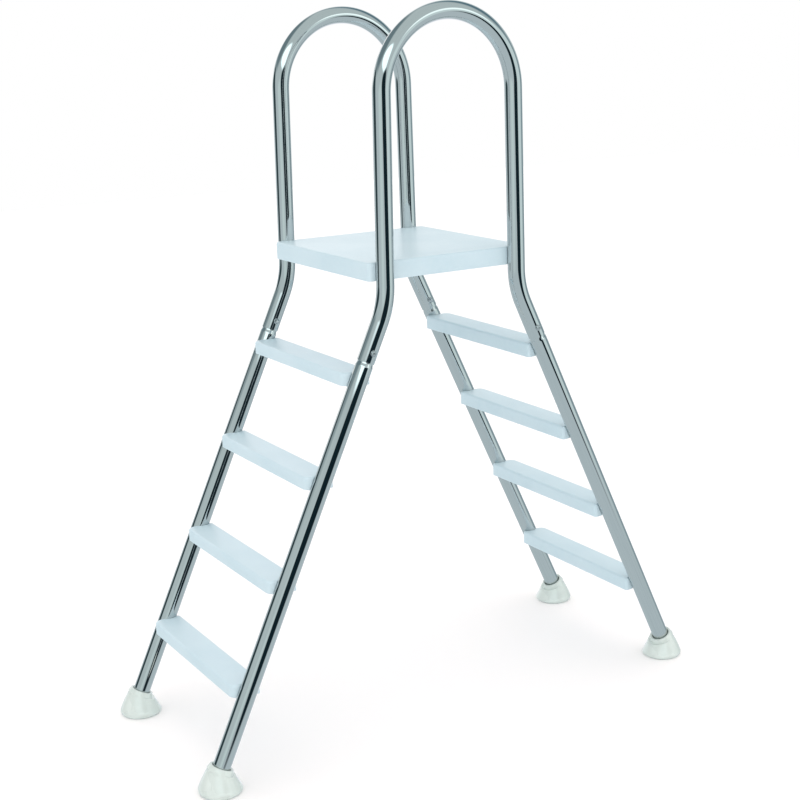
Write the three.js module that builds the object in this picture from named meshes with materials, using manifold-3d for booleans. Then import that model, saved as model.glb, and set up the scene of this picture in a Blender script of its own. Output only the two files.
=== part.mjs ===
// A-frame ladder for an above-ground pool: two bent handrails, four leaning legs,
// four treads on each side, a platform on top and a rubber boot under each leg.
// Millimetres, +Z up. X is the way a bather walks (outside of the pool at -X, water at +X),
// Y is the width (left is +Y), and the origin is on the ground at the middle of the ladder.

import * as THREE from 'three';
import { mergeVertices } from 'three/addons/utils/BufferGeometryUtils.js';
import Module from 'manifold-3d';

const wasm = await Module();
wasm.setup();

// Driving dimensions
const TUBE_R = 21.5;
const TUBE_WALL = 1.5;
const RAIL_SPACING = 500;
const LEAN = THREE.MathUtils.degToRad(25);
const BEND_X = 188;
const BEND_Z = 1100;
const BEND_R = 210;
const ARCH_R = 182.5;
const ARCH_Z = 1580;
const JOINT_Z = 971;
const SPIGOT_LENGTH = 70;
const NECK_LENGTH = 11;
const BOLT_ABOVE_JOINT = 25;
const FIT = 0.6;

const STEP_TOPS = [247, 481, 715, 949];
const STEP_FRONT = 37;
const STEP_BACK = 37;
const STEP_THICKNESS = 36;
const STEP_FRONT_HEIGHT = 31;
const BOARD_HALF_WIDTH = 240;
const BOARD_CAVITY_Y = 222;
const BOARD_WALL = 4;
const RIB = 3;

const PLATFORM_TOP = 1200;
const PLATFORM_THICKNESS = 44;
const PLATFORM_HALF_LENGTH = 225;

const BOOT_BASE_R = 53;
const BOOT_MOUTH_R = 29.5;
const BOOT_HEIGHT = 60;
const BOOT_INSET = 21;
const LEG_BOTTOM = 20;

const JOINT_BOLT_R = 4;
const STEP_SCREW_R = 3;
const HOLE_PLAY = 0.4;

// Worked out from the above
const RAIL_Y = RAIL_SPACING / 2;
const BORE_R = TUBE_R - TUBE_WALL;
const FOOT_X = BEND_X + BEND_Z * Math.tan(LEAN);
const JOINT_ALONG = JOINT_Z / Math.cos(LEAN);
const BOLT_ALONG = JOINT_ALONG + BOLT_ABOVE_JOINT;
const SPIGOT_R = BORE_R - FIT;
const legX = (z) => FOOT_X - z * Math.tan(LEAN);

const steel = { color: 0xbfc8cb, roughness: 0.12, metalness: 1 };
const whitePlastic = { color: 0xe4edf2, roughness: 0.45, metalness: 0 };
const bootPlastic = { color: 0xdbe4df, roughness: 0.35, metalness: 0 };

const ladder = new THREE.Group();

function addPart(name, geometry, finish) {
  const mesh = new THREE.Mesh(geometry, new THREE.MeshStandardMaterial(finish));
  mesh.name = name;
  ladder.add(mesh);
  return mesh;
}

// Solids for cutting and joining
function toSolid(geometry) {
  const bare = geometry.clone();
  bare.deleteAttribute('normal');
  bare.deleteAttribute('uv');
  const merged = mergeVertices(bare, 1e-4);
  return new wasm.Manifold(new wasm.Mesh({
    numProp: 3,
    vertProperties: new Float32Array(merged.attributes.position.array),
    triVerts: new Uint32Array(merged.index.array),
  }));
}

function toGeometry(solid) {
  const cut = solid.getMesh();
  const geometry = new THREE.BufferGeometry();
  geometry.setAttribute('position', new THREE.BufferAttribute(cut.vertProperties, 3));
  geometry.setIndex(new THREE.BufferAttribute(cut.triVerts, 1));
  geometry.computeVertexNormals();
  return geometry;
}

function subtract(geometry, cutters) {
  return toGeometry(cutters.reduce((left, cutter) => left.subtract(toSolid(cutter)), toSolid(geometry)));
}

// A round bar along Y from y0 to y1, centred on (x, z)
function barAlongY(radius, y0, y1, x, z, sides = 8) {
  const bar = new THREE.CylinderGeometry(radius, radius, Math.abs(y1 - y0), sides);
  return bar.translate(x, (y0 + y1) / 2, z);
}

function box(x0, x1, y0, y1, z0, z1) {
  const block = new THREE.BoxGeometry(x1 - x0, y1 - y0, z1 - z0);
  return block.translate((x0 + x1) / 2, (y0 + y1) / 2, (z0 + z1) / 2);
}

// A profile of [radius, height] corners turned about Z; it closes on itself when it is a ring
function turned(corners, sides) {
  const profile = corners.map(([radius, height]) => new THREE.Vector2(radius, height));
  return new THREE.LatheGeometry(profile, sides).rotateX(Math.PI / 2);
}

// The handrail's centreline in the XZ plane, with its stations kept to the bends
class RailPath extends THREE.Curve {
  constructor() {
    super();
    this.stations = [];
    this.tangents = [];
  }

  add(x, z, angle) {
    this.stations.push(new THREE.Vector3(x, 0, z));
    this.tangents.push(new THREE.Vector3(Math.cos(angle), 0, Math.sin(angle)));
  }

  // An arc of centre (x, z), from one heading to another, turning clockwise seen from -Y
  addArc(x, z, radius, from, to, count) {
    for (let i = 0; i <= count; i += 1) {
      const heading = from + ((to - from) * i) / count;
      const side = heading + Math.PI / 2 * Math.sign(from - to);
      this.add(x + radius * Math.cos(side), z + radius * Math.sin(side), heading);
    }
  }

  getPointAt(u) {
    return this.stations[Math.round(u * (this.stations.length - 1))].clone();
  }

  getTangentAt(u) {
    return this.tangents[Math.round(u * (this.stations.length - 1))].clone();
  }
}

// The uprights lean in a little, so the arch turns slightly more than half a circle
const UPRIGHT_LEAN = Math.atan((BEND_X - ARCH_R) / (ARCH_Z - BEND_Z));
const uprightX = (z) => BEND_X - (z - BEND_Z) * Math.tan(UPRIGHT_LEAN);

function handrailPath() {
  const path = new RailPath();
  const legHeading = Math.PI / 2 - LEAN;
  const uprightHeading = Math.PI / 2 - UPRIGHT_LEAN;
  const turn = uprightHeading - legHeading;
  const tangentLength = BEND_R * Math.tan(turn / 2);
  const startX = -BEND_X - tangentLength * Math.cos(legHeading);
  const startZ = BEND_Z - tangentLength * Math.sin(legHeading);
  const centreX = startX - BEND_R * Math.sin(legHeading);
  const centreZ = startZ + BEND_R * Math.cos(legHeading);
  path.add(-legX(JOINT_Z), JOINT_Z, legHeading);
  path.addArc(centreX, centreZ, BEND_R, legHeading, uprightHeading, 4);
  path.addArc(0, ARCH_Z, ARCH_R, uprightHeading, -uprightHeading, 16);
  path.addArc(-centreX, centreZ, BEND_R, -uprightHeading, -legHeading, 4);
  path.add(legX(JOINT_Z), JOINT_Z, -legHeading);
  return path;
}

function handrail(side) {
  const ring = new THREE.Shape().absarc(0, 0, TUBE_R, 0, 2 * Math.PI);
  ring.holes.push(new THREE.Path().absarc(0, 0, BORE_R, 0, 2 * Math.PI, true));
  const path = handrailPath();
  const tube = new THREE.ExtrudeGeometry(ring, {
    steps: path.stations.length - 1,
    extrudePath: path,
    curveSegments: 10,
  });
  const boltZ = BOLT_ALONG * Math.cos(LEAN);
  const screwZ = PLATFORM_TOP - PLATFORM_THICKNESS / 2;
  const holes = [-1, 1].flatMap((end) => [
    barAlongY(JOINT_BOLT_R + HOLE_PLAY, -30, 30, end * legX(boltZ), boltZ),
    barAlongY(STEP_SCREW_R + HOLE_PLAY, -side * 30, 0, end * uprightX(screwZ), screwZ),
  ]);
  return subtract(tube, holes).translate(0, side * RAIL_Y, 0);
}

// A leg along its own Z axis from the ground point of its axis, swaged at the top to
// slide into the handrail, with a hole for each tread screw on its inner side
function leg(side) {
  const neckTop = JOINT_ALONG - 1;
  const neckBottom = neckTop - NECK_LENGTH;
  const top = JOINT_ALONG + SPIGOT_LENGTH;
  const tube = turned([
    [TUBE_R, LEG_BOTTOM],
    [TUBE_R, neckBottom],
    [SPIGOT_R, neckTop],
    [SPIGOT_R, top],
    [SPIGOT_R - TUBE_WALL, top],
    [SPIGOT_R - TUBE_WALL, neckTop],
    [BORE_R, neckBottom],
    [BORE_R, LEG_BOTTOM],
    [TUBE_R, LEG_BOTTOM],
  ], 20);
  const holes = STEP_TOPS.map((stepTop) => {
    const along = (stepTop - STEP_THICKNESS / 2) / Math.cos(LEAN);
    return barAlongY(STEP_SCREW_R + HOLE_PLAY, -side * 30, 0, 0, along);
  });
  holes.push(barAlongY(JOINT_BOLT_R + HOLE_PLAY, -30, 30, 0, BOLT_ALONG));
  return subtract(tube, holes);
}

// A board with rounded top edges and a square rim below, its top at z = 0
function board(x0, x1, thickness, frontCornerR, backCornerR, edgeR) {
  const left = x0 + edgeR;
  const right = x1 - edgeR;
  const half = BOARD_HALF_WIDTH - edgeR;
  const front = frontCornerR - edgeR;
  const back = backCornerR - edgeR;
  const outline = new THREE.Shape()
    .absarc(right - front, half - front, front, 0, Math.PI / 2)
    .absarc(left + back, half - back, back, Math.PI / 2, Math.PI)
    .absarc(left + back, back - half, back, Math.PI, 1.5 * Math.PI)
    .absarc(right - front, front - half, front, 1.5 * Math.PI, 2 * Math.PI);
  const solid = new THREE.ExtrudeGeometry(outline, {
    depth: thickness,
    bevelThickness: edgeR,
    bevelSize: edgeR,
    bevelSegments: 2,
    curveSegments: 2,
  });
  return solid.translate(0, 0, -thickness - edgeR);
}

// What lies below the rim of a board
function belowBoard(halfX, thickness) {
  return box(-halfX - 10, halfX + 10, -BOARD_HALF_WIDTH - 10, BOARD_HALF_WIDTH + 10, -thickness - 20, -thickness);
}

// Pockets that leave ribs between them, cut up into a board from below
function pockets(x0, x1, columns, rows, thickness) {
  const cellX = (x1 - x0 - (columns - 1) * RIB) / columns;
  const cellY = (2 * BOARD_CAVITY_Y - (rows - 1) * RIB) / rows;
  const cells = [];
  for (let i = 0; i < columns; i += 1) {
    for (let j = 0; j < rows; j += 1) {
      const x = x0 + i * (cellX + RIB);
      const y = -BOARD_CAVITY_Y + j * (cellY + RIB);
      cells.push(box(x, x + cellX, y, y + cellY, -thickness - 1, -BOARD_WALL));
    }
  }
  return cells;
}

// A saddle for a tube that leans by the given angle about Y, through (x, y, z)
function saddle(x, y, z, lean) {
  const cylinder = new THREE.CylinderGeometry(TUBE_R + FIT, TUBE_R + FIT, 160, 24);
  return cylinder.rotateX(Math.PI / 2).rotateY(lean).translate(x, y, z);
}

// What lies below a step, whose underside slopes up from the back to the front
function belowStep() {
  const slope = Math.atan2(STEP_THICKNESS - STEP_FRONT_HEIGHT, STEP_BACK + STEP_FRONT);
  const below = box(-100, 100, -BOARD_HALF_WIDTH - 10, BOARD_HALF_WIDTH + 10, -40, 0);
  return below.rotateY(-slope).translate(-STEP_BACK, 0, -STEP_THICKNESS);
}

function step() {
  const middle = -STEP_THICKNESS / 2;
  const blank = board(-STEP_BACK, STEP_FRONT, STEP_THICKNESS, 20, 8, 6);
  const cuts = pockets(BOARD_WALL - STEP_BACK, STEP_FRONT - BOARD_WALL, 1, 5, STEP_THICKNESS);
  cuts.push(belowStep());
  cuts.push(saddle(0, RAIL_Y, middle, -LEAN));
  cuts.push(saddle(0, -RAIL_Y, middle, -LEAN));
  cuts.push(barAlongY(STEP_SCREW_R + HOLE_PLAY, -RAIL_Y, 10 - BOARD_CAVITY_Y, 0, middle));
  cuts.push(barAlongY(STEP_SCREW_R + HOLE_PLAY, BOARD_CAVITY_Y - 10, RAIL_Y, 0, middle));
  return subtract(blank, cuts);
}

function platform() {
  const middle = -PLATFORM_THICKNESS / 2;
  const x = uprightX(PLATFORM_TOP + middle);
  const inside = PLATFORM_HALF_LENGTH - BOARD_WALL;
  const blank = board(-PLATFORM_HALF_LENGTH, PLATFORM_HALF_LENGTH, PLATFORM_THICKNESS, 12, 12, 6);
  const cuts = pockets(-inside, inside, 5, 4, PLATFORM_THICKNESS);
  cuts.push(belowBoard(PLATFORM_HALF_LENGTH, PLATFORM_THICKNESS));
  for (const end of [-1, 1]) {
    for (const side of [-1, 1]) {
      const inner = side * (BOARD_CAVITY_Y - 10);
      const ends = [inner, side * RAIL_Y].sort((a, b) => a - b);
      cuts.push(saddle(end * x, side * RAIL_Y, middle, -end * UPRIGHT_LEAN));
      cuts.push(barAlongY(STEP_SCREW_R + HOLE_PLAY, ends[0], ends[1], end * x, middle));
    }
  }
  return subtract(blank, cuts);
}

// A boot for the leg at +X: rings that start flat on the ground and tilt to meet the leg.
// Each ring is [radius, x, z, tilt], x being measured from the ground point of the leg's axis.
function boot() {
  const onAxis = (radius, along) => [radius, -along * Math.sin(LEAN), along * Math.cos(LEAN), -LEAN];
  const rise = (radius, share) => {
    const mouth = onAxis(BOOT_MOUTH_R, BOOT_HEIGHT / Math.cos(LEAN));
    const x = THREE.MathUtils.lerp(-BOOT_INSET, mouth[1], share);
    return [radius, x, BOOT_HEIGHT * share, -LEAN * share];
  };
  const mouthAlong = BOOT_HEIGHT / Math.cos(LEAN);
  const rings = [
    [0, -BOOT_INSET, 0, 0],
    [BOOT_BASE_R - 7, -BOOT_INSET, 0, 0],
    [BOOT_BASE_R - 2, -BOOT_INSET, 2.5, 0],
    [BOOT_BASE_R, -BOOT_INSET, 8, 0],
    [BOOT_BASE_R - 1.5, -BOOT_INSET, 15, 0],
    rise(46, 0.42),
    rise(40.4, 0.62),
    onAxis(33.5, mouthAlong - 12),
    onAxis(BOOT_MOUTH_R, mouthAlong - 1.5),
    onAxis(BOOT_MOUTH_R - 1.5, mouthAlong),
    onAxis(TUBE_R + 3, mouthAlong),
    onAxis(TUBE_R + FIT, mouthAlong - 8),
    onAxis(TUBE_R + FIT, LEG_BOTTOM - FIT),
    onAxis(0, LEG_BOTTOM - FIT),
  ];
  const sides = 24;
  const geometry = turned(rings.map(([radius], height) => [radius, height]), sides);
  const position = geometry.attributes.position;
  for (let i = 0; i < position.count; i += 1) {
    const [, x, z, tilt] = rings[i % rings.length];
    const across = position.getX(i);
    position.setXYZ(i, x + across * Math.cos(tilt), position.getY(i), z - across * Math.sin(tilt));
  }
  return geometry;
}

// Fasteners along Y; their heads point to +Y
function jointBolt() {
  const headSeat = TUBE_R + 0.4;
  const shankEnd = -TUBE_R - 8;
  return turned([
    [0, shankEnd],
    [JOINT_BOLT_R, shankEnd],
    [JOINT_BOLT_R, headSeat],
    [7.5, headSeat],
    [7.5, headSeat + 1.2],
    [6, headSeat + 1.6],
    [5.2, headSeat + 3.4],
    [3, headSeat + 4.4],
    [0, headSeat + 4.4],
  ], 10).rotateX(-Math.PI / 2);
}

function jointNut() {
  const seat = -TUBE_R - 0.4;
  const hexagon = new THREE.CylinderGeometry(7.5, 7.5, 6.5, 6).translate(0, seat - 3.25, 0);
  const dome = turned([[0, 0], [6, 0], [6, 2], [4.4, 5], [0, 6.4]], 10);
  const bore = new THREE.CylinderGeometry(JOINT_BOLT_R + HOLE_PLAY, JOINT_BOLT_R + HOLE_PLAY, 16, 10);
  const domeAtEnd = dome.rotateX(Math.PI / 2).translate(0, seat - 6, 0);
  const nut = toSolid(hexagon).add(toSolid(domeAtEnd));
  return toGeometry(nut.subtract(toSolid(bore.translate(0, seat, 0))));
}

function stepScrew() {
  const seat = BOARD_CAVITY_Y - RAIL_Y - 0.4;
  const tip = 16 - TUBE_R;
  return turned([
    [0, tip],
    [STEP_SCREW_R, tip - 3],
    [STEP_SCREW_R, seat],
    [6, seat],
    [5.4, seat - 3],
    [3, seat - 4],
    [0, seat - 4],
  ].reverse(), 8).rotateX(-Math.PI / 2);
}

// Assembly
const flights = [
  { name: 'outer', end: -1 },
  { name: 'pool', end: 1 },
];
const sides = [
  { name: 'left', side: 1 },
  { name: 'right', side: -1 },
];

// Turns a piece made for the left side so that its +Y end points outward
const outward = (side) => (side > 0 ? 0 : Math.PI);

for (const { name, side } of sides) {
  addPart(`handrail_${name}`, handrail(side), steel);
}

for (const flight of flights) {
  for (const { name, side } of sides) {
    const place = `${flight.name}_${name}`;
    const legPart = addPart(`leg_${place}`, leg(side), steel);
    legPart.position.set(flight.end * FOOT_X, side * RAIL_Y, 0);
    legPart.rotation.y = -flight.end * LEAN;

    const bootPart = addPart(`boot_${place}`, boot(), bootPlastic);
    bootPart.position.set(flight.end * FOOT_X, side * RAIL_Y, 0);
    bootPart.rotation.z = flight.end > 0 ? 0 : Math.PI;

    const boltZ = BOLT_ALONG * Math.cos(LEAN);
    for (const [piece, geometry] of [['bolt', jointBolt()], ['nut', jointNut()]]) {
      const part = addPart(`joint_${piece}_${place}`, geometry, steel);
      part.position.set(flight.end * legX(boltZ), side * RAIL_Y, boltZ);
      part.rotation.z = outward(side);
    }

    const platformScrewZ = PLATFORM_TOP - PLATFORM_THICKNESS / 2;
    const platformScrew = addPart(`platform_screw_${place}`, stepScrew(), steel);
    platformScrew.position.set(flight.end * uprightX(platformScrewZ), side * RAIL_Y, platformScrewZ);
    platformScrew.rotation.z = outward(side);
  }

  STEP_TOPS.forEach((stepTop, index) => {
    const middle = stepTop - STEP_THICKNESS / 2;
    const place = `${flight.name}_${index + 1}`;
    const stepPart = addPart(`step_${place}`, step(), whitePlastic);
    stepPart.position.set(flight.end * legX(middle), 0, stepTop);
    stepPart.rotation.z = flight.end > 0 ? 0 : Math.PI;
    for (const { name, side } of sides) {
      const screw = addPart(`step_screw_${place}_${name}`, stepScrew(), steel);
      screw.position.set(flight.end * legX(middle), side * RAIL_Y, middle);
      screw.rotation.z = outward(side);
    }
  });
}

addPart('platform', platform(), whitePlastic).position.z = PLATFORM_TOP;

export default ladder;
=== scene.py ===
"""Looks for the pool ladder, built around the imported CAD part. Metres, +Z up."""

import math

import bmesh
import bpy
from mathutils import Matrix, Vector


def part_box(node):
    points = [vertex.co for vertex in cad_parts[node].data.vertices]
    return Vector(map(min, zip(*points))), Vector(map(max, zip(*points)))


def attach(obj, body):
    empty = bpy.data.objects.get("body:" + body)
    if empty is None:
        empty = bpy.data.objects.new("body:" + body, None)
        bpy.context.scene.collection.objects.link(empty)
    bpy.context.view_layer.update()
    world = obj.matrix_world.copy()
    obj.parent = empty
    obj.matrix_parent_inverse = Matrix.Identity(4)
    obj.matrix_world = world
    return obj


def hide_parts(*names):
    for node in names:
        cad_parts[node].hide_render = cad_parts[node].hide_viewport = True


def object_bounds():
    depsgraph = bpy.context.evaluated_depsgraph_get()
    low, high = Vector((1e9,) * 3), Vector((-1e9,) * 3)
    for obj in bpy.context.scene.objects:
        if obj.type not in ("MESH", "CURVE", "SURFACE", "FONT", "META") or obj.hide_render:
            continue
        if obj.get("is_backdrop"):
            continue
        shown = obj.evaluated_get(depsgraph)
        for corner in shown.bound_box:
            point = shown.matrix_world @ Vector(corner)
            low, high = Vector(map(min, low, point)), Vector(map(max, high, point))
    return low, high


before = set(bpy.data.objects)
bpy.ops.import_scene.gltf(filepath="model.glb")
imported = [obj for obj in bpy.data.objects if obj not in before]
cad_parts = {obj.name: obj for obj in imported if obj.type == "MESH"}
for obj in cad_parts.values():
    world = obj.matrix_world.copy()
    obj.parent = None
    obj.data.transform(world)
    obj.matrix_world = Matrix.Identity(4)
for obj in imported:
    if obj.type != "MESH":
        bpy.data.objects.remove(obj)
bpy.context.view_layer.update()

MM = 0.001
LEAN = math.radians(25)
TUBE_WALL = 1.5 * MM
EDGE = 0.4 * MM
FIT = 0.6 * MM
BEND_X = 188 * MM
BEND_Z = 1100 * MM
BEND_R = 210 * MM
ARCH_R = 182.5 * MM
ARCH_Z = 1580 * MM
SPIGOT_LENGTH = 70 * MM
NECK_LENGTH = 11 * MM
BOARD_WALL = 4 * MM
CAVITY_Y = 222 * MM
RIB = 3 * MM
SIDES = 64

FLIGHTS = {"outer": -1, "pool": 1}
FRAMES = {"left": 1, "right": -1}

# ---------------------------------------------------------------- measures taken from the CAD
rail_low, rail_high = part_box("handrail_left")
RAIL_Y = (rail_low.y + rail_high.y) / 2
TUBE_R = (rail_high.y - rail_low.y) / 2
BORE_R = TUBE_R - TUBE_WALL
SPIGOT_R = BORE_R - FIT
FOOT_X = BEND_X + BEND_Z * math.tan(LEAN)
# the end of the handrail is cut square to the leg
JOINT_Z = rail_low.z + TUBE_R * math.sin(LEAN)
JOINT_ALONG = JOINT_Z / math.cos(LEAN)
UPRIGHT_LEAN = math.atan((BEND_X - ARCH_R) / (ARCH_Z - BEND_Z))
bolt_low, bolt_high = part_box("joint_bolt_pool_left")
BOLT_Z = (bolt_low.z + bolt_high.z) / 2


def leg_x(z):
    return FOOT_X - z * math.tan(LEAN)


def upright_x(z):
    return BEND_X - (z - BEND_Z) * math.tan(UPRIGHT_LEAN)


# ---------------------------------------------------------------- camera
CAMERA_AT = Vector((-1.887, -3.123, 1.718))
CAMERA_HEADING = math.radians(31.06)
CAMERA_PITCH = math.radians(-14.26)
CAMERA_ROLL = math.radians(-1.66)


def make_camera():
    data = bpy.data.cameras.new("camera")
    data.lens = 65.3
    data.sensor_width = 36
    camera = bpy.data.objects.new("camera", data)
    bpy.context.scene.collection.objects.link(camera)
    forward = Vector((
        math.cos(CAMERA_PITCH) * math.sin(CAMERA_HEADING),
        math.cos(CAMERA_PITCH) * math.cos(CAMERA_HEADING),
        math.sin(CAMERA_PITCH),
    ))
    level_right = Vector((math.cos(CAMERA_HEADING), -math.sin(CAMERA_HEADING), 0))
    level_up = level_right.cross(forward)
    right = level_right * math.cos(CAMERA_ROLL) + level_up * math.sin(CAMERA_ROLL)
    up = right.cross(forward)
    axes = Matrix((right, up, -forward)).transposed()
    camera.matrix_world = Matrix.Translation(CAMERA_AT) @ axes.to_4x4()
    bpy.context.scene.camera = camera


make_camera()


# ---------------------------------------------------------------- node helpers
class Nodes:
    """A thin helper over a node tree: makes nodes and links values into them."""

    def __init__(self, tree):
        self.tree = tree
        tree.nodes.clear()

    def make(self, kind, inputs=(), **settings):
        node = self.tree.nodes.new(kind)
        for key, value in settings.items():
            setattr(node, key, value)
        for key, value in dict(inputs).items():
            self.feed(node.inputs[key], value)
        return node

    def feed(self, socket, value):
        if isinstance(value, bpy.types.NodeSocket):
            self.tree.links.new(value, socket)
        elif isinstance(value, bpy.types.Node):
            self.tree.links.new(value.outputs[0], socket)
        else:
            socket.default_value = value

    def math(self, operation, *values):
        return self.make("ShaderNodeMath", enumerate(values), operation=operation).outputs[0]

    def vector_math(self, operation, *values):
        node = self.make("ShaderNodeVectorMath", enumerate(values), operation=operation)
        return node.outputs["Value" if operation == "DOT_PRODUCT" else "Vector"]

    def ramp(self, value, from_min, from_max, to_min=0.0, to_max=1.0, smooth=True):
        inputs = {0: value, 1: from_min, 2: from_max, 3: to_min, 4: to_max}
        kind = "SMOOTHSTEP" if smooth else "LINEAR"
        return self.make("ShaderNodeMapRange", inputs, interpolation_type=kind).outputs[0]

    def mix(self, factor, first, second, blend="MIX"):
        inputs = {0: factor, 6: first, 7: second}
        node = self.make("ShaderNodeMix", inputs, data_type="RGBA", blend_type=blend)
        return node.outputs[2]

    def noise(self, vector, scale, detail=3.0, roughness=0.55, distortion=0.0):
        inputs = {
            "Vector": vector,
            "Scale": scale,
            "Detail": detail,
            "Roughness": roughness,
            "Distortion": distortion,
        }
        return self.make("ShaderNodeTexNoise", inputs).outputs[0]

    def stretch(self, vector, scale):
        return self.vector_math("MULTIPLY", vector, scale)

    def bump(self, height, strength, distance, normal=None):
        inputs = {"Height": height, "Strength": strength, "Distance": distance}
        if normal is not None:
            inputs["Normal"] = normal
        return self.make("ShaderNodeBump", inputs).outputs[0]


def rgb(red, green, blue):
    return (red, green, blue, 1.0)


def new_material(name, constants, build):
    """A Principled material; build(nodes) returns the inputs that vary over the surface."""
    material = bpy.data.materials.new(name)
    material.use_nodes = True
    nodes = Nodes(material.node_tree)
    shader = nodes.make("ShaderNodeBsdfPrincipled", constants)
    for key, value in build(nodes).items():
        nodes.feed(shader.inputs[key], value)
    nodes.make("ShaderNodeOutputMaterial", {"Surface": shader})
    return material


# ---------------------------------------------------------------- materials
def steel_surface(nodes):
    """Mirror-polished tube: fine polishing lines along it, faint smears and water marks."""
    along = nodes.make("ShaderNodeAttribute", attribute_name="along").outputs["Vector"]
    lines = nodes.noise(nodes.stretch(along, (900, 900, 5)), 1.0, 4.0, 0.6)
    fine = nodes.noise(nodes.stretch(along, (2600, 2600, 30)), 1.0, 2.0, 0.6)
    smear = nodes.noise(nodes.stretch(along, (40, 40, 9)), 1.0, 4.0, 0.6, 0.6)
    wave = nodes.noise(nodes.stretch(along, (14, 14, 3)), 1.0, 1.0, 0.5)
    spots = nodes.noise(nodes.stretch(along, (240, 240, 240)), 1.0, 2.0, 0.5)
    dulled = nodes.ramp(smear, 0.52, 0.74)
    dried = nodes.ramp(spots, 0.70, 0.78)
    clean = nodes.mix(nodes.ramp(lines, 0.3, 0.7), rgb(0.585, 0.61, 0.61), rgb(0.63, 0.65, 0.65))
    colour = nodes.mix(nodes.math("MULTIPLY", dried, 0.25), clean, rgb(0.68, 0.69, 0.68))
    polish = nodes.ramp(lines, 0.25, 0.75, 0.02, 0.05, smooth=False)
    soiled = nodes.math("MULTIPLY", dulled, 0.04)
    roughness = nodes.math("ADD", nodes.math("ADD", polish, soiled), nodes.math("MULTIPLY", dried, 0.1))
    normal = nodes.bump(wave, 0.25, 0.0012)
    normal = nodes.bump(fine, 0.035, 0.0003, normal)
    return {"Base Color": colour, "Roughness": roughness, "Normal": normal}


def fastener_surface(nodes):
    """Turned stainless steel: rings round the axis, with the plating slightly dulled."""
    along = nodes.make("ShaderNodeAttribute", attribute_name="along").outputs["Vector"]
    parts = nodes.make("ShaderNodeSeparateXYZ", {0: along})
    distance = nodes.make("ShaderNodeCombineXYZ", {0: 0.0, 1: 0.0, 2: parts.outputs[2]})
    rings = nodes.noise(distance, 5200.0, 2.0)
    patches = nodes.noise(nodes.stretch(along, (260, 260, 260)), 1.0, 3.0)
    colour = nodes.mix(patches, rgb(0.46, 0.48, 0.49), rgb(0.62, 0.64, 0.65))
    roughness = nodes.ramp(patches, 0.3, 0.7, 0.16, 0.32, smooth=False)
    normal = nodes.bump(rings, 0.12, 0.0002)
    return {"Base Color": colour, "Roughness": roughness, "Normal": normal}


def board_surface(nodes):
    """Moulded bluish white plastic: fine grain, faint flow marks, scuffs where feet land."""
    place = nodes.make("ShaderNodeTexCoord").outputs["Object"]
    facing = nodes.make("ShaderNodeSeparateXYZ", {0: nodes.make("ShaderNodeTexCoord").outputs["Normal"]})
    upward = nodes.ramp(facing.outputs[2], 0.6, 0.95)
    cloud = nodes.noise(place, 7.0, 3.0, 0.5, 0.4)
    mottle = nodes.noise(place, 90.0, 3.0, 0.6)
    grain = nodes.noise(place, 1500.0, 2.0, 0.5)
    pits = nodes.noise(place, 420.0, 1.0, 0.5)
    scrape = nodes.noise(nodes.stretch(place, (18, 420, 60)), 1.0, 4.0, 0.65, 0.3)
    cross = nodes.noise(nodes.stretch(place, (380, 26, 60)), 1.0, 4.0, 0.65, 0.5)
    scuffs = nodes.math("ADD", nodes.ramp(scrape, 0.63, 0.75), nodes.ramp(cross, 0.66, 0.78))
    scuffs = nodes.math("MULTIPLY", nodes.math("MULTIPLY", scuffs, upward), 0.5)
    base = nodes.mix(nodes.ramp(cloud, 0.3, 0.7), rgb(0.555, 0.715, 0.785), rgb(0.60, 0.75, 0.815))
    base = nodes.mix(nodes.ramp(mottle, 0.35, 0.75, 0.0, 0.25), base, rgb(0.635, 0.77, 0.825))
    colour = nodes.mix(nodes.math("MULTIPLY", scuffs, 0.22), base, rgb(0.50, 0.57, 0.60))
    sheen = nodes.ramp(mottle, 0.3, 0.7, 0.34, 0.46, smooth=False)
    roughness = nodes.math("ADD", sheen, nodes.math("MULTIPLY", scuffs, 0.2))
    height = nodes.math("ADD", grain, nodes.math("MULTIPLY", pits, 1.4))
    height = nodes.math("SUBTRACT", height, nodes.math("MULTIPLY", scuffs, 0.8))
    normal = nodes.bump(height, 0.10, 0.0004)
    return {"Base Color": colour, "Roughness": roughness, "Normal": normal}


def boot_surface(nodes):
    """Glossy off-white moulding: cloudy, a little soiled and scuffed near the ground."""
    along = nodes.make("ShaderNodeAttribute", attribute_name="along").outputs["Vector"]
    height = nodes.make("ShaderNodeSeparateXYZ", {0: along}).outputs[2]
    cloud = nodes.noise(nodes.stretch(along, (22, 22, 22)), 1.0, 3.0, 0.5, 0.3)
    speck = nodes.noise(nodes.stretch(along, (500, 500, 500)), 1.0, 2.0, 0.5)
    rub = nodes.noise(nodes.stretch(along, (70, 70, 420)), 1.0, 4.0, 0.65, 0.4)
    low = nodes.ramp(height, 0.002, 0.016, 1.0, 0.0)
    scuffs = nodes.math("MULTIPLY", nodes.ramp(rub, 0.5, 0.7), low)
    base = nodes.mix(nodes.ramp(cloud, 0.3, 0.7), rgb(0.62, 0.705, 0.67), rgb(0.68, 0.765, 0.73))
    base = nodes.mix(nodes.ramp(speck, 0.66, 0.72, 0.0, 0.3), base, rgb(0.50, 0.55, 0.51))
    colour = nodes.mix(nodes.math("MULTIPLY", scuffs, 0.35), base, rgb(0.45, 0.46, 0.42))
    sheen = nodes.ramp(cloud, 0.3, 0.7, 0.22, 0.32)
    roughness = nodes.math("ADD", sheen, nodes.math("MULTIPLY", scuffs, 0.3))
    normal = nodes.bump(nodes.math("SUBTRACT", speck, nodes.math("MULTIPLY", scuffs, 0.6)), 0.05, 0.0004)
    return {"Base Color": colour, "Roughness": roughness, "Normal": normal}


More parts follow.
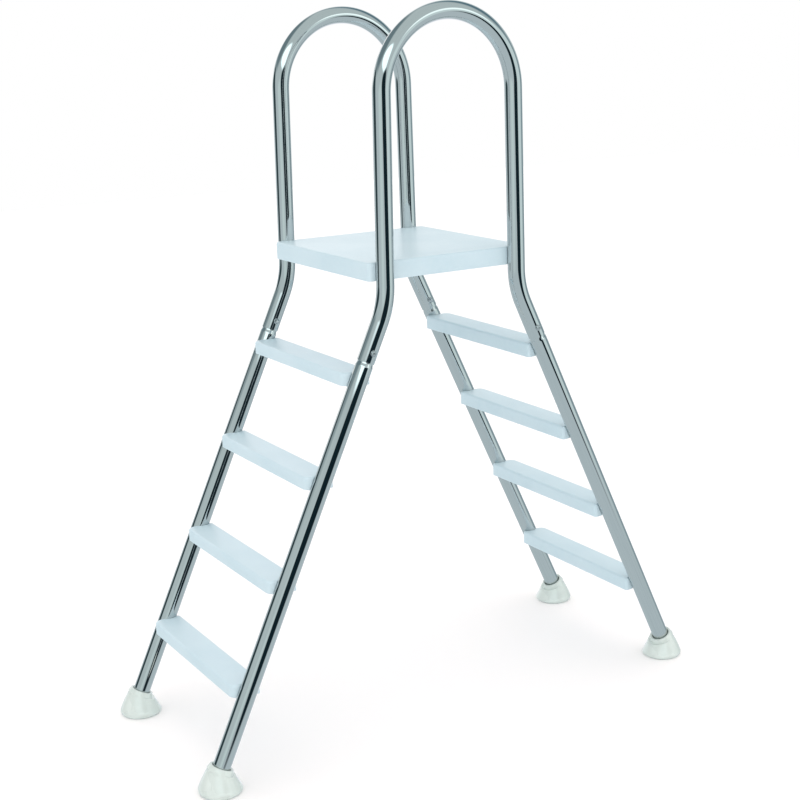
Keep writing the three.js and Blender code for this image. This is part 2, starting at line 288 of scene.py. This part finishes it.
steel = new_material("polished_steel", {"Metallic": 1.0}, steel_surface)
fastener = new_material("turned_steel", {"Metallic": 1.0}, fastener_surface)
board_plastic = new_material(
    "board_plastic", {"Specular IOR Level": 0.5, "Coat Weight": 0.45, "Coat Roughness": 0.28}, board_surface
)
boot_plastic = new_material(
    "boot_plastic", {"Specular IOR Level": 0.5, "Coat Weight": 0.8, "Coat Roughness": 0.1}, boot_surface
)


# ---------------------------------------------------------------- mesh helpers
def add_object(name, mesh, material):
    piece = bpy.data.objects.new(name, mesh)
    bpy.context.scene.collection.objects.link(piece)
    mesh.materials.clear()
    mesh.materials.append(material)
    return piece


def finish_piece(piece, node):
    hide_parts(node)
    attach(piece, "root")
    return piece


def shade(mesh, angle=35):
    mesh.shade_smooth()
    mesh.set_sharp_from_angle(angle=math.radians(angle))


def turned_mesh(name, rings, closed=False, sides=SIDES, ring_turn=0.0):
    """Joins rings of (centre, axis, radius, distance along) into a solid.

    A ring of no radius is a pole. closed joins the last ring to the first, as for a hollow tube.
    Every point carries its place on the unrolled surface in the attribute "along".
    """
    points = []
    unrolled = []
    starts = []
    for centre, axis, radius, distance in rings:
        starts.append(len(points))
        across = Vector((0, 1, 0)) if abs(axis.y) < 0.5 else Vector((1, 0, 0))
        other = axis.cross(across).normalized()
        for i in range(1 if radius == 0 else sides):
            turn = 2 * math.pi * i / sides + ring_turn
            outward = across * math.cos(turn) + other * math.sin(turn)
            points.append(centre + outward * radius)
            unrolled.append((radius * math.cos(turn), radius * math.sin(turn), distance))
    faces = []
    pairs = list(zip(range(len(rings)), range(1, len(rings))))
    if closed:
        pairs.append((len(rings) - 1, 0))
    for a, b in pairs:
        for i in range(sides):
            j = (i + 1) % sides
            if rings[a][2] == 0:
                faces.append((starts[a], starts[b] + j, starts[b] + i))
            elif rings[b][2] == 0:
                faces.append((starts[a] + i, starts[a] + j, starts[b]))
            else:
                faces.append((starts[a] + i, starts[a] + j, starts[b] + j, starts[b] + i))
    mesh = bpy.data.meshes.new(name)
    mesh.from_pydata(points, [], faces)
    attribute = mesh.attributes.new("along", "FLOAT_VECTOR", "POINT")
    attribute.data.foreach_set("vector", [value for place in unrolled for value in place])
    edit = bmesh.new()
    edit.from_mesh(mesh)
    bmesh.ops.recalc_face_normals(edit, faces=edit.faces)
    edit.to_mesh(mesh)
    edit.free()
    shade(mesh)
    return mesh


def rounded_outline(x0, x1, y0, y1, front_radius, back_radius, front_inset, inset, count=8):
    """A rounded rectangle drawn in by an inset, which may differ along its front side, x1."""
    points = []
    corners = (
        (x1 - front_radius, y1 - front_radius, front_radius, 0.0),
        (x0 + back_radius, y1 - back_radius, back_radius, 0.5),
        (x0 + back_radius, y0 + back_radius, back_radius, 1.0),
        (x1 - front_radius, y0 + front_radius, front_radius, 1.5),
    )
    for x, y, radius, quarter in corners:
        reach_x = radius - (front_inset if quarter in (0.0, 1.5) else inset)
        for i in range(count + 1):
            turn = math.pi * (quarter + 0.5 * i / count)
            points.append((x + reach_x * math.cos(turn), y + (radius - inset) * math.sin(turn)))
    return points


def slab_mesh(name, x0, x1, y0, y1, front_radius, back_radius, levels):
    """A rounded rectangle stacked through levels of (height, front inset, inset)."""
    points = []
    for height, front_inset, inset in levels:
        outline = rounded_outline(x0, x1, y0, y1, front_radius, back_radius, front_inset, inset)
        points += [(x, y, height) for x, y in outline]
    count = len(points) // len(levels)
    faces = [tuple(range(count))[::-1]]
    for level in range(len(levels) - 1):
        for i in range(count):
            j = (i + 1) % count
            low, high = level * count, (level + 1) * count
            faces.append((low + i, low + j, high + j, high + i))
    faces.append(tuple(range((len(levels) - 1) * count, len(levels) * count)))
    mesh = bpy.data.meshes.new(name)
    mesh.from_pydata(points, [], faces)
    mesh.validate()
    return mesh


def cut(piece, cutters):
    """Takes the cutters out of the piece and removes them."""
    for cutter in cutters:
        modifier = piece.modifiers.new("cut", "BOOLEAN")
        modifier.operation = "DIFFERENCE"
        modifier.solver = "MANIFOLD"
        modifier.object = cutter
    bpy.context.view_layer.update()
    graph = bpy.context.evaluated_depsgraph_get()
    result = bpy.data.meshes.new_from_object(piece.evaluated_get(graph))
    piece.modifiers.clear()
    piece.data = result
    for cutter in cutters:
        bpy.data.objects.remove(cutter)


def bar(name, start, end, radius, sides=SIDES):
    start, end = Vector(start), Vector(end)
    axis = (end - start).normalized()
    rings = [(start, axis, 0, 0), (start, axis, radius, 0), (end, axis, radius, 0), (end, axis, 0, 0)]
    piece = bpy.data.objects.new(name, turned_mesh(name, rings, sides=sides))
    bpy.context.scene.collection.objects.link(piece)
    return piece


# ---------------------------------------------------------------- tubes
def rail_stations():
    """Points (x, z, heading) down the middle of a handrail, from the outer end to the pool end."""
    leg_heading = math.pi / 2 - LEAN
    upright_heading = math.pi / 2 - UPRIGHT_LEAN
    tangent = BEND_R * math.tan((upright_heading - leg_heading) / 2)
    start_x = -BEND_X - tangent * math.cos(leg_heading)
    start_z = BEND_Z - tangent * math.sin(leg_heading)
    centre_x = start_x - BEND_R * math.sin(leg_heading)
    centre_z = start_z + BEND_R * math.cos(leg_heading)
    stations = [(-leg_x(JOINT_Z), JOINT_Z, leg_heading)]

    def arc(x, z, radius, start, end, count):
        for i in range(count + 1):
            heading = start + (end - start) * i / count
            side = heading + math.copysign(math.pi / 2, start - end)
            stations.append((x + radius * math.cos(side), z + radius * math.sin(side), heading))

    arc(centre_x, centre_z, BEND_R, leg_heading, upright_heading, 14)
    arc(0, ARCH_Z, ARCH_R, upright_heading, -upright_heading, 72)
    arc(-centre_x, centre_z, BEND_R, -upright_heading, -leg_heading, 14)
    stations.append((leg_x(JOINT_Z), JOINT_Z, -leg_heading))
    return stations


def tube_rings(stations, y, outer, inner):
    """Outside, then back down the inside, of a hollow tube with softened ends."""
    spots = []
    distance = 0.0
    last = None
    for x, z, heading in stations:
        centre = Vector((x, y, z))
        axis = Vector((math.cos(heading), 0, math.sin(heading)))
        distance += 0.0 if last is None else (centre - last).length
        last = centre
        spots.append((centre, axis, distance))
    first, final = spots[0], spots[-1]
    rings = [(first[0], first[1], outer - EDGE, first[2])]
    rings.append((first[0] + first[1] * EDGE, first[1], outer, first[2] + EDGE))
    rings += [(centre, axis, outer, along) for centre, axis, along in spots[1:-1]]
    rings.append((final[0] - final[1] * EDGE, final[1], outer, final[2] - EDGE))
    rings.append((final[0], final[1], outer - EDGE, final[2]))
    rings += [(centre, axis, inner, along) for centre, axis, along in reversed(spots)]
    return rings


for side_name, side in FRAMES.items():
    rings = tube_rings(rail_stations(), side * RAIL_Y, TUBE_R, BORE_R)
    mesh = turned_mesh("rail_" + side_name, rings, closed=True)
    piece = add_object("rail_" + side_name, mesh, steel)
    finish_piece(piece, "handrail_" + side_name)


def leg_rings(end, y):
    axis = Vector((-end * math.sin(LEAN), 0, math.cos(LEAN)))
    foot = Vector((end * FOOT_X, y, 0))
    leg_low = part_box("leg_pool_left")[0]
    bottom = (leg_low.z + TUBE_R * math.sin(LEAN)) / math.cos(LEAN)
    top = JOINT_ALONG + SPIGOT_LENGTH
    neck_top = JOINT_ALONG - 1 * MM
    profile = [(bottom, TUBE_R - EDGE), (bottom + EDGE, TUBE_R)]
    profile += [(bottom + (neck_top - NECK_LENGTH - bottom) * i / 8, TUBE_R) for i in range(1, 8)]
    for i in range(9):
        share = i / 8
        ease = share * share * (3 - 2 * share)
        profile.append((neck_top - NECK_LENGTH * (1 - share), TUBE_R + (SPIGOT_R - TUBE_R) * ease))
    profile += [(top, SPIGOT_R), (top, SPIGOT_R - TUBE_WALL), (neck_top, SPIGOT_R - TUBE_WALL)]
    profile += [(neck_top - NECK_LENGTH, BORE_R), (bottom, BORE_R)]
    return [(foot + axis * along, axis, radius, along) for along, radius in profile]


# ---------------------------------------------------------------- boots
BOOT_INSET = 21 * MM
BOOT_HEIGHT = 60 * MM
LEG_BOTTOM = 20 * MM
BOOT_FLAT_R = 46.5 * MM
BOOT_BELLY_R = 53 * MM
BOOT_SHOULDER_R = 35.3 * MM
# shares of the boot's height where it is widest and where its flank meets the collar
BELLY = 0.14
SHOULDER = 0.79
# a flank of power 1 is straight; a little more rounds it into the belly
FLANK_CURVE = 1.08
# how much sooner the rings reach the leg's lean than the boot reaches its mouth
TILT_LEAD = 1.08


def boot_outline():
    """(share of the height, radius): a rounded foot, then a flank that draws in to the shoulder."""
    outline = []
    for i in range(7):
        turn = math.radians(90 * i / 6)
        radius = BOOT_FLAT_R + (BOOT_BELLY_R - BOOT_FLAT_R) * math.sin(turn)
        outline.append((BELLY * (1 - math.cos(turn)), radius))
    for i in range(1, 13):
        rise = i / 12
        radius = BOOT_BELLY_R - (BOOT_BELLY_R - BOOT_SHOULDER_R) * rise ** FLANK_CURVE
        outline.append((BELLY + (SHOULDER - BELLY) * rise, radius))
    return outline


def boot_rings(end, y):
    """Rings that lie flat on the ground and tilt until they face along the leg."""
    foot = Vector((end * FOOT_X, y, 0))
    leg_axis = Vector((-end * math.sin(LEAN), 0, math.cos(LEAN)))
    mouth_along = BOOT_HEIGHT / math.cos(LEAN)
    mouth = foot + leg_axis * mouth_along
    base = foot + Vector((-end * BOOT_INSET, 0, 0))
    rings = [(base, Vector((0, 0, 1)), 0, 0)]
    for share, radius in boot_outline():
        centre = Vector((base.x + (mouth.x - base.x) * share, y, BOOT_HEIGHT * share))
        tilt = LEAN * min(1.0, share * TILT_LEAD)
        axis = Vector((-end * math.sin(tilt), 0, math.cos(tilt)))
        rings.append((centre, axis, radius, centre.z))
    # (mm past the mouth, radius in mm): the cone of the collar, its rounded lip, then the funnel inside
    collar = [
        (-11, 33.0), (-5, 30.9), (-1.4, 29.8), (-0.5, 29.5), (0.1, 29.0), (0.35, 28.0),
        (0.35, 25.4), (0.1, 24.3), (-0.7, 23.5), (-2.5, 22.9), (-8, TUBE_R / MM + 0.6),
    ]
    for rise, radius in collar:
        rings.append((mouth + leg_axis * rise * MM, leg_axis, radius * MM, BOOT_HEIGHT + rise * MM))
    socket = LEG_BOTTOM - FIT
    rings.append((foot + leg_axis * socket, leg_axis, TUBE_R + FIT, socket))
    rings.append((foot + leg_axis * socket, leg_axis, 0, socket))
    return rings


# ---------------------------------------------------------------- fasteners, heads to +Y
def along_y(profile):
    axis = Vector((0, 1, 0))
    return [(axis * y * MM, axis, radius * MM, (y + radius) * MM) for radius, y in profile]


def bolt_profile():
    seat = TUBE_R / MM + 0.4
    shank = [(0, -29.5), (4, -29.5), (4, seat)]
    washer = [(7.1, seat), (7.5, seat + 0.3), (7.5, seat + 1.0), (7.2, seat + 1.3)]
    dome = [(6.2, seat + 1.35), (6.2, seat + 2.0)]
    for i in range(1, 8):
        turn = math.radians(78 * i / 7)
        dome.append((2.4 + 3.8 * math.cos(turn), seat + 2.0 + 2.45 * math.sin(turn)))
    recess = [(2.6, seat + 4.3), (2.5, seat + 2.2), (0, seat + 2.2)]
    return shank + washer + dome + recess


def nut_profile():
    seat = -TUBE_R / MM - 0.4
    crown = [(7.5, seat - 0.1), (7.5, seat - 1.0), (6.2, seat - 1.4), (6.1, seat - 6.2)]
    for i in range(1, 8):
        turn = math.radians(90 * i / 7)
        crown.append((6.1 * math.cos(turn), seat - 6.2 - 6.0 * math.sin(turn)))
    crown[-1] = (0, seat - 12.2)
    bore = [(0, seat - 9.0), (4.4, seat - 8.6), (4.4, seat - 0.1)]
    return bore + crown


def screw_profile():
    seat = (CAVITY_Y - RAIL_Y) / MM - 0.4
    tip = 16 - TUBE_R / MM
    profile = [(0, tip), (3, tip - 3), (3, seat), (5.6, seat), (6, seat - 0.6)]
    for i in range(0, 6):
        turn = math.radians(12 + 66 * i / 5)
        profile.append((1.4 + 4.6 * math.cos(turn), seat - 0.8 - 3.2 * math.sin(turn)))
    profile += [(1.9, seat - 3.6), (1.6, seat - 2.0), (0, seat - 2.0)]
    return profile


def hexed(mesh, low, high, across):
    """Presses the rings between two heights into a hexagon, as for a nut's flats."""
    for vertex in mesh.vertices:
        x, z = vertex.co.x, vertex.co.z
        radius = math.hypot(x, z)
        if low <= vertex.co.y <= high and radius > 4.5 * MM:
            turn = math.atan2(z, x)
            sector = (turn + math.pi / 6) % (math.pi / 3) - math.pi / 6
            reach = min(across / math.cos(sector), across * 1.12)
            vertex.co.x = x / radius * reach
            vertex.co.z = z / radius * reach
    return mesh


bolt_mesh = turned_mesh("bolt", along_y(bolt_profile()), sides=48)
nut_seat = -TUBE_R - 0.4 * MM
nut_mesh = turned_mesh("nut", along_y(nut_profile()), sides=48)
nut_mesh = hexed(nut_mesh, nut_seat - 6.3 * MM, nut_seat - 1.3 * MM, 6.2 * MM)
screw_mesh = turned_mesh("screw", along_y(screw_profile()), sides=32)


def place_fastener(name, mesh, node, x, y, z):
    piece = add_object(name, mesh, fastener)
    turn = Matrix.Rotation(0 if y > 0 else math.pi, 4, "Z")
    piece.matrix_world = Matrix.Translation((x, y, z)) @ turn
    finish_piece(piece, node)


# ---------------------------------------------------------------- boards
def edge_inset(height, radius):
    rise = height + radius
    return radius - math.sqrt(max(0.0, radius * radius - rise * rise)) if rise > 0 else 0.0


def rounded_levels(thickness, nosing, edge, rim):
    """Levels from the underside, with a small rim radius, to the rounded top edges."""
    levels = []
    for i in range(3):
        turn = math.pi / 2 * i / 2
        inset = rim * (1 - math.sin(turn))
        levels.append((-thickness + rim * (1 - math.cos(turn)), inset, inset))
    heights = {-radius * (1 - math.cos(math.pi / 2 * i / 8)) for radius in (nosing, edge) for i in range(9)}
    for height in sorted(heights):
        levels.append((height, edge_inset(height, nosing), edge_inset(height, edge)))
    return levels


def pocket_cutters(x0, x1, columns, rows, thickness):
    width = (x1 - x0 - (columns - 1) * RIB) / columns
    length = (2 * CAVITY_Y - (rows - 1) * RIB) / rows
    levels = [
        (-thickness - 1 * MM, 0, 0),
        (-BOARD_WALL - 1 * MM, 0.5 * MM, 0.5 * MM),
        (-BOARD_WALL, 1.5 * MM, 1.5 * MM),
    ]
    cutters = []
    for i in range(columns):
        for j in range(rows):
            x = x0 + i * (width + RIB)
            y = -CAVITY_Y + j * (length + RIB)
            mesh = slab_mesh("pocket", x, x + width, y, y + length, 3 * MM, 3 * MM, levels)
            cutter = bpy.data.objects.new("pocket", mesh)
            bpy.context.scene.collection.objects.link(cutter)
            cutters.append(cutter)
    return cutters


def saddle_cutter(x, y, z, lean):
    reach = Vector((math.sin(lean), 0, math.cos(lean))) * 0.08
    middle = Vector((x, y, z))
    return bar("saddle", middle - reach, middle + reach, TUBE_R + FIT, 96)


def screw_hole(x, y0, y1, z):
    return bar("hole", (x, y0, z), (x, y1, z), 3.4 * MM, 24)


def underside_cutter(half_x, half_y, thickness, front_height):
    """What lies below an underside that slopes up from the back to the front."""
    slope = math.atan2(thickness - front_height, 2 * half_x)
    reach_y = half_y + 10 * MM
    levels = [(-40 * MM, 0, 0), (0, 0, 0)]
    mesh = slab_mesh("below", -100 * MM, 100 * MM, -reach_y, reach_y, 1 * MM, 1 * MM, levels)
    mesh.transform(Matrix.Translation((-half_x, 0, -thickness)) @ Matrix.Rotation(-slope, 4, "Y"))
    cutter = bpy.data.objects.new("below", mesh)
    bpy.context.scene.collection.objects.link(cutter)
    return cutter


def board(name, half_x, half_y, thickness, front_height, corners, nosing, edge, columns, rows, tubes):
    """A ribbed board with its top at z = 0.

    corners holds the front and back corner radii, nosing and edge are the radii of the front and the
    other top edges, and tubes lists (x, side, lean) for each saddle.
    """
    levels = rounded_levels(thickness, nosing, edge, 1 * MM)
    mesh = slab_mesh(name, -half_x, half_x, -half_y, half_y, *corners, levels)
    piece = bpy.data.objects.new(name, mesh)
    bpy.context.scene.collection.objects.link(piece)
    cutters = pocket_cutters(BOARD_WALL - half_x, half_x - BOARD_WALL, columns, rows, thickness)
    if front_height < thickness:
        cutters.append(underside_cutter(half_x, half_y, thickness, front_height))
    for x, side, lean in tubes:
        cutters.append(saddle_cutter(x, side * RAIL_Y, -thickness / 2, lean))
        cutters.append(screw_hole(x, side * (CAVITY_Y - 10 * MM), side * RAIL_Y, -thickness / 2))
    cut(piece, cutters)
    mesh = piece.data
    bpy.data.objects.remove(piece)
    mesh.name = name
    shade(mesh, 30)
    return mesh


def dress_board(piece):
    bevel = piece.modifiers.new("softened_edges", "BEVEL")
    bevel.width = 0.5 * MM
    bevel.segments = 2
    bevel.limit_method = "ANGLE"
    bevel.angle_limit = math.radians(50)
    bevel.harden_normals = False
    normals = piece.modifiers.new("flat_faces", "WEIGHTED_NORMAL")
    normals.keep_sharp = True
    normals.weight = 100


step_low, step_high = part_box("step_pool_1")
STEP_THICKNESS = step_high.z - step_low.z
STEP_HALF_X = (step_high.x - step_low.x) / 2
STEP_HALF_Y = step_high.y
STEP_FRONT_HEIGHT = 31 * MM
step_mesh = board(
    "step",
    STEP_HALF_X,
    STEP_HALF_Y,
    STEP_THICKNESS,
    STEP_FRONT_HEIGHT,
    corners=(20 * MM, 8 * MM),
    nosing=5.5 * MM,
    edge=6 * MM,
    columns=1,
    rows=5,
    tubes=[(0, 1, -LEAN), (0, -1, -LEAN)],
)

platform_low, platform_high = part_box("platform")
PLATFORM_THICKNESS = platform_high.z - platform_low.z
PLATFORM_SCREW_Z = platform_high.z - PLATFORM_THICKNESS / 2
platform_tube_x = upright_x(PLATFORM_SCREW_Z)
platform_mesh = board(
    "platform_board",
    platform_high.x,
    platform_high.y,
    PLATFORM_THICKNESS,
    PLATFORM_THICKNESS,
    corners=(12 * MM, 12 * MM),
    nosing=6 * MM,
    edge=6 * MM,
    columns=5,
    rows=4,
    tubes=[(end * platform_tube_x, side, -end * UPRIGHT_LEAN) for end in (-1, 1) for side in (-1, 1)],
)

# ---------------------------------------------------------------- assembly
for flight, end in FLIGHTS.items():
    for side_name, side in FRAMES.items():
        place = f"{flight}_{side_name}"
        y = side * RAIL_Y
        mesh = turned_mesh(f"tube_{place}", leg_rings(end, y), closed=True)
        piece = add_object(f"tube_{place}", mesh, steel)
        finish_piece(piece, f"leg_{place}")
        mesh = turned_mesh(f"shoe_{place}", boot_rings(end, y))
        piece = add_object(f"shoe_{place}", mesh, boot_plastic)
        finish_piece(piece, f"boot_{place}")
        place_fastener(f"bolt_{place}", bolt_mesh, f"joint_bolt_{place}", end * leg_x(BOLT_Z), y, BOLT_Z)
        place_fastener(f"nut_{place}", nut_mesh, f"joint_nut_{place}", end * leg_x(BOLT_Z), y, BOLT_Z)
        place_fastener(
            f"deck_screw_{place}",
            screw_mesh,
            f"platform_screw_{place}",
            end * platform_tube_x,
            y,
            PLATFORM_SCREW_Z,
        )
    for number in range(1, 5):
        low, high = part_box(f"step_{flight}_{number}")
        middle_z = (low.z + high.z) / 2
        piece = add_object(f"tread_{flight}_{number}", step_mesh, board_plastic)
        turn = Matrix.Rotation(0 if end > 0 else math.pi, 4, "Z")
        piece.matrix_world = Matrix.Translation(((low.x + high.x) / 2, 0, high.z)) @ turn
        dress_board(piece)
        finish_piece(piece, f"step_{flight}_{number}")
        for side_name, side in FRAMES.items():
            place = f"{flight}_{number}_{side_name}"
            place_fastener(
                f"tread_screw_{place}",
                screw_mesh,
                f"step_screw_{place}",
                end * leg_x(middle_z),
                side * RAIL_Y,
                middle_z,
            )

deck = add_object("deck", platform_mesh, board_plastic)
deck.location.z = platform_high.z
dress_board(deck)
finish_piece(deck, "platform")


# ---------------------------------------------------------------- floor and light
def make_floor():
    bpy.ops.mesh.primitive_grid_add(x_subdivisions=4, y_subdivisions=4, size=24)
    floor = bpy.context.object
    floor.name = "floor"

    def surface(nodes):
        place = nodes.make("ShaderNodeTexCoord").outputs["Object"]
        shade_of = nodes.noise(place, 0.8, 2.0)
        return {"Base Color": nodes.mix(shade_of, rgb(0.965, 0.965, 0.965), rgb(0.98, 0.98, 0.98))}

    constants = {"Roughness": 0.9, "Specular IOR Level": 0.1}
    floor.data.materials.append(new_material("pale_floor", constants, surface))
    floor.visible_glossy = False
    floor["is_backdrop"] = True


# what the polished steel mirrors: each panel's heading, elevation, half width, half height and roll
# in degrees and the softness of its edge, then its light
STUDIO_PANELS = {
    "pale floor ahead": ((25, -15, 35, 16, -40, 0.4), (1.05, 1.07, 1.15)),
    "pale wall ahead": ((12, 27, 18, 10, 0, 0.7), (1.15, 1.15, 1.17)),
    "light sheet ahead": ((16, 12, 16, 12, 0, 0.7), (1.3, 1.3, 1.32)),
    "bright line ahead": ((-8, 4, 16, 3, -20, 0.5), (1.15, 1.2, 1.2)),
    "shaded ceiling on the left": ((-45, 45, 38, 28, 0, 0.3), (0.20, 0.28, 0.31)),
    "shaded ceiling on the right": ((80, 38, 38, 14, -35, 0.6), (0.12, 0.22, 0.28)),
    "large softbox behind": ((-145, 28, 32, 11, 23, 0.15), (1.6, 1.9, 1.95)),
    "long low lamp behind": ((-130, -2, 20, 9, -15, 0.5), (0.74, 0.88, 0.88)),
    "dark flag on the left": ((-50, 4, 23, 14, 15, 0.2), (0.035, 0.065, 0.075)),
    "grey wall on the right": ((90, -2, 30, 13, 40, 0.7), (0.28, 0.38, 0.42)),
    "wide lamp on the right": ((132, 0, 24, 14, -15, 0.2), (0.80, 0.95, 0.96)),
    "small lamp on the right": ((147, 10, 9, 8, 0, 0.2), (1.4, 1.6, 1.6)),
    "dark doorway behind": ((178, -6, 33, 12, 25, 0.12), (0.008, 0.022, 0.03)),
}


def direction(heading, elevation):
    heading, elevation = math.radians(heading), math.radians(elevation)
    flat = math.cos(elevation)
    return Vector((flat * math.sin(heading), flat * math.cos(heading), math.sin(elevation)))


def make_light():
    """A white backdrop, an even light for the matt surfaces, and the panels for the shiny ones."""
    scene = bpy.context.scene
    world = bpy.data.worlds.new("studio")
    scene.world = world
    world.use_nodes = True
    nodes = Nodes(world.node_tree)
    look = nodes.make("ShaderNodeTexCoord").outputs["Generated"]
    height = nodes.make("ShaderNodeSeparateXYZ", {0: look}).outputs[2]
    low_walls, high_walls = rgb(0.60, 0.70, 0.74), rgb(0.62, 0.72, 0.73)
    mirrored = nodes.mix(nodes.ramp(height, -0.5, 0.5), low_walls, high_walls)
    for (heading, elevation, half_w, half_h, roll, soft), light in STUDIO_PANELS.values():
        centre = direction(heading, elevation)
        right = Vector((math.cos(math.radians(heading)), -math.sin(math.radians(heading)), 0))
        up = right.cross(centre)
        turn = math.radians(roll)
        wide = right * math.cos(turn) + up * math.sin(turn)
        tall = up * math.cos(turn) - right * math.sin(turn)
        ahead = nodes.vector_math("DOT_PRODUCT", look, centre)
        across = nodes.math("ARCTAN2", nodes.vector_math("DOT_PRODUCT", look, wide), ahead)
        above = nodes.math("ARCSINE", nodes.vector_math("DOT_PRODUCT", look, tall))
        across = nodes.math("DIVIDE", across, math.radians(half_w))
        above = nodes.math("DIVIDE", above, math.radians(half_h))
        squares = nodes.math("MULTIPLY", across, across), nodes.math("MULTIPLY", above, above)
        reach = nodes.math("SQRT", nodes.math("ADD", *squares))
        card = nodes.ramp(reach, 1 + soft, 1 - soft)
        mirrored = nodes.mix(card, mirrored, rgb(*light))
    side_light, overhead_light = rgb(1.0, 1.0, 1.0), rgb(1.26, 1.21, 1.20)
    even = nodes.mix(nodes.ramp(height, -0.2, 0.9), side_light, overhead_light)
    path = nodes.make("ShaderNodeLightPath")
    light = nodes.mix(path.outputs["Is Glossy Ray"], even, mirrored)
    light = nodes.mix(path.outputs["Is Camera Ray"], light, rgb(1.0, 1.0, 1.0))
    background = nodes.make("ShaderNodeBackground", {"Color": light, "Strength": 1.0})
    nodes.make("ShaderNodeOutputWorld", {"Surface": background})
    scene.view_settings.view_transform = "Standard"


make_floor()
make_light()

low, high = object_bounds()
